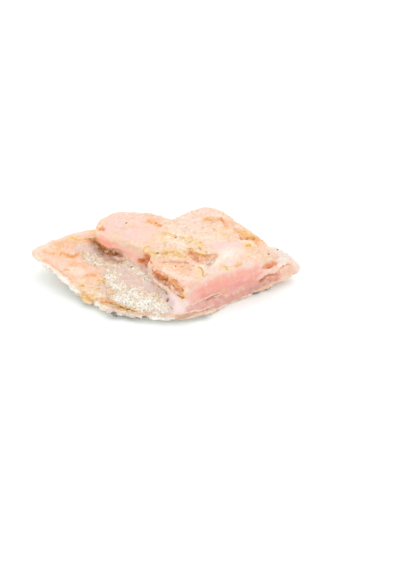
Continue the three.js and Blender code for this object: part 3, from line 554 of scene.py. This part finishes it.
def read_normals(mesh):
    normals = np.zeros(len(mesh.vertices) * 3, np.float32)
    mesh.vertices.foreach_get("normal", normals)
    return normals.reshape(-1, 3).astype(float)


def neighbour_mean(values, ends):
    """The mean value of each point's neighbours, from the points at the ends of the mesh's edges."""
    count = np.bincount(ends.ravel(), minlength=len(values)).astype(float)
    mean = np.empty_like(values)
    for axis in range(values.shape[1]):
        column = values[:, axis]
        mean[:, axis] = np.bincount(ends[:, 0], column[ends[:, 1]], len(values))
        mean[:, axis] += np.bincount(ends[:, 1], column[ends[:, 0]], len(values))
    return mean / count[:, None]


stone = fine_surface(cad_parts["rough_opal"])
mesh = stone.data
ends = np.zeros(len(mesh.edges) * 2, np.int32)
mesh.edges.foreach_get("vertices", ends)
ends = ends.reshape(-1, 2)
points = read_points(mesh)
for _ in range(SMOOTHING):
    points += SMOOTH_IN * (neighbour_mean(points, ends) - points)
    points -= SMOOTH_OUT * (neighbour_mean(points, ends) - points)
write_points(mesh, points)

# From pixels to the surface.
eye = LOOK_AT + Vector((0, -math.cos(PITCH), math.sin(PITCH))) * DISTANCE
forward = (LOOK_AT - eye).normalized()
right = Vector((1, 0, 0))
up = right.cross(forward)
tree = BVHTree.FromPolygons(points.tolist(), [tuple(face.vertices) for face in mesh.polygons])


def on_stone(pixel):
    """The point of the stone that the photo shows at a pixel, or None beside the stone."""
    across = (pixel[0] - IMAGE[0] / 2) / FOCAL_PX
    down = (pixel[1] - IMAGE[1] / 2) / FOCAL_PX
    return tree.ray_cast(eye, (forward + right * across - up * down).normalized())[0]


def trace(pixels):
    """Points of the stone along a line of pixels."""
    hits = [on_stone(pixel) for pixel in pixels]
    for (x0, y0), (x1, y1) in zip(pixels, pixels[1:]):
        steps = math.ceil(math.hypot(x1 - x0, y1 - y0) / TRACE_STEP)
        for step in range(1, steps):
            hits.append(on_stone((x0 + (x1 - x0) * step / steps, y0 + (y1 - y0) * step / steps)))
    return np.array([hit for hit in hits if hit is not None])


def closeness(pixels, reach):
    """1 on a line of pixels laid on the stone, falling evenly to 0 at its reach in mm and below 0 beyond."""
    line = trace(pixels)
    limit = FAR * reach
    inside = np.all((points > line.min(axis=0) - limit) & (points < line.max(axis=0) + limit), axis=1)
    near = points[inside]
    away = np.full(len(near), limit)
    for spot in line:
        away = np.minimum(away, np.linalg.norm(near - spot, axis=1))
    result = np.full(len(points), 1.0 - FAR)
    result[inside] = 1 - away / reach
    return result


def patched(patches):
    """The strongest of some named patches at every point, from 0 to 1."""
    total = np.zeros(len(points))
    for reach, strength, pixels in patches.values():
        total = np.maximum(total, strength * ramp(closeness(pixels, reach) + 0.2 * blotches, 0, 0.6))
    return total


# Noise that both the relief and the colours follow.
clouds = rough(points + 7, 9.0)
blotches = rough(points + 60, 3.0)
flecks = rough(points + 120, 1.1)
bands = rough(points / np.array([6.0, 1.0, 0.8]) + 300, 1.0)

calm = patched(CALM)
back = ramp(read_normals(mesh)[:, 1], 0.05, 0.35) * (1 - calm)
torn = np.maximum(patched(TORN), 0.7 * back * ramp(clouds, 0.0, 0.6))
strata = rough(points / np.array([4.0, 4.0, 1.0]) + 400, 2.4)
lively = (1 - calm) * (0.6 + 0.4 * torn)
for _ in range(ROUNDING):
    points += ROUND_IN * calm[:, None] * (neighbour_mean(points, ends) - points)
write_points(mesh, points)
normals = read_normals(mesh)

# The druse: a lace of small crystals with bare lilac between them.
low_enough = 1 - ramp(points[:, 2], DRUSE_TOP - DRUSE_FADE, DRUSE_TOP)
druse = patched(DRUSE) * ramp(normals[:, 2], 0.0, 0.3) * low_enough
lace = 1 - 2.5 * np.abs(rough(points + 90, 2.2, 2))
crusts = 0.8 * druse + 0.45 * lace + 0.5 * rough(points + 45, 1.6) - 0.7 * patched(BARE)
crust = ramp(druse, 0.1, 0.3) * ramp(crusts, 0.25, 0.55)
crystal_offset, crystal_number = nearest_grain(points, GRAIN)
crystal_top = np.clip(1 - 1.5 * np.linalg.norm(crystal_offset, axis=1), 0, 1)

# The rind: a rough layered edge all round the foot.
rind_top = np.interp(points[:, 0], *zip(*RIND_TOP))
steep = 1 - ramp(normals[:, 2], 0.35, 0.65)
rind = steep * (1 - ramp(points[:, 2] + 0.5 * blotches, rind_top - 0.5, rind_top + 0.4))
layers = rough(points / np.array([5.0, 5.0, 0.6]) + 200, 1.0)


# Relief.
def relief():
    """How far every point moves out of the stone, in mm."""
    height = 0.12 * lively * facets(points, 2.6) + 0.12 * lively * facets(points + 31, 1.2)
    height += (0.03 + 0.15 * lively) * rough(points + 20, 1.4)
    height += 0.3 * torn * ledges(1.6 * rough(points / np.array([2.2, 1.4, 1.2]), 1.0, 2))
    height += 0.12 * (1 - calm) * bands
    for rise, reach, pixels in RELIEF.values():
        height += rise * ramp(closeness(pixels, reach) + 0.3 * flecks, 0, 0.8)
    height += crust * (0.08 + 0.4 * crystal_top * (0.4 + SCATTER[crystal_number, 0]))
    near_foot = 1 - 0.7 * ramp(points[:, 2], 2.5, 5)
    height += rind * (0.2 * layers + 0.22 * facets(points + 50, 1.3)) * near_foot
    return height * ramp(points[:, 2], 0.0, 0.7)


carved = points + normals * relief()[:, None]
carved[:, 2] = np.maximum(carved[:, 2], 0)  # nothing goes below the floor
carved[:, 2] += patched(LIFTED) * (1 - ramp(points[:, 2], 0, LIFT_FADE))
write_points(mesh, carved)

# How far every point lies below the surface around it, in mm.
around = carved
for _ in range(HOLLOW_ROUNDS):
    around = neighbour_mean(around, ends)
hollow = np.einsum("ij,ij->i", around - carved, normals)


# Colour.
def linear(colour):
    """A colour of the photo as Blender takes it, in linear light from 0 to 1."""
    share = np.array(colour) / 255
    return np.where(share < 0.04045, share / 12.92, ((share + 0.055) / 1.055) ** 2.4)


def blend(colours, mask, shade):
    """The colours with a shade laid over them, wholly where the mask is 1."""
    mask = np.clip(mask, 0, 1)[:, None]
    return colours * (1 - mask) + linear(shade) * mask


def tinted():
    """The broad tints."""
    colours = np.tile(linear(PINK), (len(points), 1))
    colours = blend(colours, 0.7 * ramp(clouds + 0.4 * blotches, 0.0, 0.9), PEACH)
    colours = blend(colours, 0.6 * ramp(-clouds + 0.4 * blotches, 0.2, 1.0), PALE_PINK)
    colours = blend(colours, back * ramp(strata, 0.0, 0.7), SALMON)
    colours = blend(colours, back * ramp(-strata + 0.3 * blotches, 0.2, 0.8), CREAM)
    colours = blend(colours, 0.8 * back * ramp(clouds + 0.6 * blotches, 0.5, 1.0), APRICOT)
    for shade, reach, strength, pixels in ZONES.values():
        mask = ramp(closeness(pixels, reach) + 0.12 * blotches + 0.08 * flecks, -0.2, 0.7)
        colours = blend(colours, strength * mask, shade)
    return colours


def mottled(colours):
    """Stains in the hollows, pale crests, and patches that follow the noise."""
    amount = 0.35 + 0.65 * lively
    colours = blend(colours, 0.7 * amount * ramp(hollow, 0.02, 0.14), APRICOT)
    colours = blend(colours, 0.6 * amount * ramp(hollow, 0.08, 0.24), OCHRE)
    colours = blend(colours, 0.7 * amount * ramp(-hollow, 0.02, 0.14), CREAM)
    warm = blotches + 0.7 * flecks + 0.5 * bands
    colours = blend(colours, 0.5 * amount * ramp(-warm, 0.3, 1.1), PALE_LILAC)
    colours = blend(colours, 0.3 * amount * ramp(warm, 0.6, 1.3), APRICOT)
    colours = blend(colours, 0.6 * amount * ramp(bands + 0.6 * flecks - 0.4 * blotches, 0.6, 1.1), YELLOW)
    colours = blend(colours, 0.8 * amount * ramp(flecks - 0.5 * warm, 0.5, 1.0), CREAM)
    veil = rough(points + 260, 1.7)
    colours = blend(colours, 0.4 * ramp(veil, 0.2, 0.9), YELLOW)
    colours = blend(colours, 0.5 * ramp(-veil, 0.2, 0.9), PALE_LILAC)
    return colours


def encrusted(colours):
    """The druse's crystals, tan where thin and white where thick, and the lilac between them."""
    colours = blend(colours, 0.8 * ramp(druse, 0, 0.6), LILAC)
    colours = blend(colours, 0.4 * druse * ramp(flecks, 0.3, 0.8), MAUVE)
    colours = blend(colours, 0.9 * crust, TAN)
    colours = blend(colours, crust * ramp(druse + 0.3 * flecks, 0.3, 0.8), PALE_YELLOW)
    return blend(colours, crust * ramp(druse + 0.4 * blotches - 0.3 * flecks, 0.7, 1.1), WHITE)


def edged(colours):
    """The rind's pale layers, with stained lines between them."""
    colours = blend(colours, 0.9 * rind, RIND)
    colours = blend(colours, 0.6 * rind * ramp(layers + 0.4 * flecks, 0.2, 0.6), GREY)
    colours = blend(colours, 0.6 * rind * ramp(-layers + 0.5 * flecks, 0.5, 0.8), YELLOW)
    return colours


def marked(colours):
    """The narrow marks."""
    for shade, reach, strength, pixels in MARKS.values():
        mask = ramp(closeness(pixels, reach) + 0.35 * flecks + 0.1 * blotches, 0, 0.9)
        colours = blend(colours, strength * mask, shade)
    return colours


def lined(colours):
    """How near the nearest fine line or speck is, -1 where it is far, and the stone's colour on it."""
    nearness = np.full(len(points), -1.0)
    specks = {name: (DARK, reach, 0.9, pixels) for name, (reach, pixels) in SPECKS.items()}
    on_line = colours.copy()
    for shade, reach, strength, pixels in (LINES | specks).values():
        near = closeness(pixels, reach)
        closer = near > nearness
        nearness[closer] = near[closer]
        on_line[closer] = blend(colours[closer], np.full(closer.sum(), strength), shade)
    return nearness, on_line


def keep_colours(name, colours):
    """Gives the mesh's points these colours, under a name that the material reads."""
    shades = np.ones((len(points), 4), np.float32)
    shades[:, :3] = colours * EXPOSURE
    mesh.color_attributes.new(name, "FLOAT_COLOR", "POINT").data.foreach_set("color", shades.ravel())


def keep_values(name, values):
    """Gives the mesh's points these numbers, in the same way."""
    mesh.attributes.new(name, "FLOAT", "POINT").data.foreach_set("value", values.astype(np.float32))


opal_colours = marked(edged(encrusted(mottled(tinted()))))
line_nearness, line_colours = lined(opal_colours)
keep_colours("opal_colour", opal_colours)
keep_colours("line_colour", line_colours)
keep_values("line", line_nearness)
keep_values("crust", crust)
keep_values("lively", lively)
mesh.shade_smooth()


# Materials.
def material(name):
    """A new material, its nodes, its links and its shader."""
    made = bpy.data.materials.new(name)
    made.use_nodes = True
    nodes = made.node_tree.nodes
    return made, nodes, made.node_tree.links, nodes["Principled BSDF"]


opal, nodes, links, shader = material("opal")
place = nodes.new("ShaderNodeTexCoord").outputs["Object"]


def attribute_of(name, output="Fac"):
    """What the mesh's points were given under this name."""
    node = nodes.new("ShaderNodeAttribute")
    node.attribute_name = name
    return node.outputs[output]


def noise_of(bump_size, detail, stretch=1, harshness=0.5):
    """A noise texture whose largest bumps are bump_size mm wide, and longer by stretch along x.
    The harsher it is, the stronger its fine bumps are."""
    mapping = nodes.new("ShaderNodeMapping")
    mapping.inputs["Scale"].default_value = (1 / stretch, 1, 1)
    links.new(place, mapping.inputs["Vector"])
    node = nodes.new("ShaderNodeTexNoise")
    node.inputs["Scale"].default_value = 1 / (bump_size * MM)
    node.inputs["Detail"].default_value = detail
    node.inputs["Roughness"].default_value = harshness
    links.new(mapping.outputs["Vector"], node.inputs["Vector"])
    return node.outputs["Fac"]


def stops_of(value, stops):
    """A colour for each value, from a list of values and colours."""
    node = nodes.new("ShaderNodeValToRGB")
    elements = node.color_ramp.elements
    while len(elements) < len(stops):
        elements.new(1)
    for element, (position, colour) in zip(elements, stops):
        element.position = position
        element.color = (*colour, 1)
    links.new(value, node.inputs["Fac"])
    return node.outputs["Color"]


def step_of(value, low, high, below=0, above=1):
    """Below up to low, above from high on, even in between."""
    node = nodes.new("ShaderNodeMapRange")
    node.inputs["From Min"].default_value = low
    node.inputs["From Max"].default_value = high
    node.inputs["To Min"].default_value = below
    node.inputs["To Max"].default_value = above
    links.new(value, node.inputs["Value"])
    return node.outputs["Result"]


def sum_of(first, second):
    node = nodes.new("ShaderNodeMath")
    node.operation = "ADD"
    links.new(first, node.inputs[0])
    links.new(second, node.inputs[1])
    return node.outputs["Value"]


def mix_of(kind, factor, below, above):
    node = nodes.new("ShaderNodeMix")
    node.data_type = "RGBA"
    node.blend_type = kind
    links.new(factor, node.inputs["Factor"])
    links.new(below, node.inputs["A"])
    links.new(above, node.inputs["B"])
    return node.outputs["Result"]


lively_share = attribute_of("lively")
stained_share = step_of(lively_share, 0, 1, 0.3, 1)
grain = noise_of(0.7, 6, harshness=0.65)
edge_grain = noise_of(0.45, 4)
crust_share = step_of(sum_of(attribute_of("crust"), step_of(edge_grain, 0.3, 0.7, -0.4, 0.4)), 0.35, 0.6)
# The colours in these stops multiply the stone's own colour.
stain = stops_of(
    grain,
    [
        (0.34, (0.94, 0.77, 0.58)),
        (0.44, (0.99, 0.95, 0.92)),
        (0.54, (1.0, 1.01, 1.02)),
        (0.66, (1.05, 1.13, 1.18)),
    ],
)
streaks = stops_of(
    noise_of(1.3, 5, 3.0),
    [
        (0.38, (1.04, 1.1, 1.13)),
        (0.46, (1, 1, 1)),
        (0.485, (0.94, 0.8, 0.6)),
        (0.5, (0.98, 0.9, 0.8)),
        (0.54, (1, 1, 1)),
        (0.66, (1, 0.97, 0.93)),
    ],
)
crystals = nodes.new("ShaderNodeTexVoronoi")
crystals.inputs["Scale"].default_value = 1 / (CRYSTAL * MM)
links.new(place, crystals.inputs["Vector"])
crystal_shade = stops_of(
    noise_of(0.5, 5, harshness=0.75),
    [
        (0.39, (0.68, 0.54, 0.42)),
        (0.46, (0.97, 0.91, 0.84)),
        (0.5, (1.03, 1.04, 1.04)),
        (0.58, (1.08, 1.12, 1.14)),
    ],
)
# Painted shade: the colour darkens towards the edges between the crystals.
crystal_gap_painted_shade = stops_of(crystals.outputs["Distance"], [(0.4, (1, 1, 1)), (0.8, (0.9, 0.84, 0.82))])
line_grain = step_of(noise_of(0.9, 4), 0.3, 0.7, -0.8, 0.8)
line_share = step_of(sum_of(attribute_of("line"), line_grain), 0.1, 0.6)
colour = mix_of("MULTIPLY", stained_share, attribute_of("opal_colour", "Color"), stain)
colour = mix_of("MULTIPLY", lively_share, colour, streaks)
colour = mix_of("MULTIPLY", crust_share, colour, crystal_shade)
colour = mix_of("MULTIPLY", crust_share, colour, crystal_gap_painted_shade)
colour = mix_of("MIX", line_share, colour, attribute_of("line_colour", "Color"))
links.new(colour, shader.inputs["Base Color"])

# Bumps, gloss and the light under the surface.
pits = nodes.new("ShaderNodeBump")
pits.inputs["Strength"].default_value = 0.6
pits.inputs["Distance"].default_value = BUMP * MM
links.new(grain, pits.inputs["Height"])
tops = nodes.new("ShaderNodeBump")
tops.invert = True
tops.inputs["Distance"].default_value = BUMP * MM
links.new(crust_share, tops.inputs["Strength"])
links.new(crystals.outputs["Distance"], tops.inputs["Height"])
links.new(pits.outputs["Normal"], tops.inputs["Normal"])
links.new(tops.outputs["Normal"], shader.inputs["Normal"])
links.new(step_of(grain, 0.3, 0.7, 0.62, 0.4), shader.inputs["Roughness"])
shader.inputs["Subsurface Weight"].default_value = 0.1
shader.inputs["Subsurface Radius"].default_value = (1.0, 0.5, 0.35)
shader.inputs["Subsurface Scale"].default_value = GLOW * MM
mesh.materials.clear()
mesh.materials.append(opal)

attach(stone, "root")
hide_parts("rough_opal")

# Floor, light and camera.
floor_mesh = bpy.data.meshes.new("floor")
floor_corners = [(-1, -1), (1, -1), (1, 1), (-1, 1)]
floor_points = [(x * FLOOR_REACH, y * FLOOR_REACH, 0) for x, y in floor_corners]
floor_mesh.from_pydata(floor_points, [], [(0, 1, 2, 3)])
floor = add_object("floor", floor_mesh)
floor_material, _, _, floor_shader = material("floor")
floor_shader.inputs["Base Color"].default_value = (*FLOOR_COLOUR, 1)
floor_shader.inputs["Roughness"].default_value = 0.7
floor_shader.inputs["Specular IOR Level"].default_value = 0.1
floor_mesh.materials.append(floor_material)

world = bpy.data.worlds.new("tent")
world.use_nodes = True
background = world.node_tree.nodes["Background"]
background.inputs["Color"].default_value = (*WORLD_COLOUR, 1)
background.inputs["Strength"].default_value = WORLD_LIGHT
bpy.context.scene.world = world


def add_lamp(name, place, size, share):
    """A square light that looks at the stone and lights a white face there to a share of white."""
    light = bpy.data.lights.new(name, "AREA")
    light.shape = "SQUARE"
    light.size = size
    light.energy = share * math.pi**2 * Vector(place).length_squared
    lamp = add_object(name, light)
    lamp.location = place
    lamp.rotation_mode = "QUATERNION"
    lamp.rotation_quaternion = (-Vector(place)).to_track_quat("-Z", "Y")


for lamp_name, (lamp_place, lamp_size, lamp_share) in LAMPS.items():
    add_lamp(lamp_name, lamp_place, lamp_size, lamp_share)

camera = bpy.data.cameras.new("camera")
camera.sensor_width = SENSOR_WIDTH
camera.lens = FOCAL_PX / max(IMAGE) * SENSOR_WIDTH
camera.clip_start = NEAREST_SEEN
viewer = add_object("camera", camera)
viewer.location = eye * MM
viewer.rotation_euler = (math.pi / 2 - PITCH, 0, 0)
bpy.context.scene.camera = viewer
bpy.context.scene.view_settings.view_transform = "Standard"
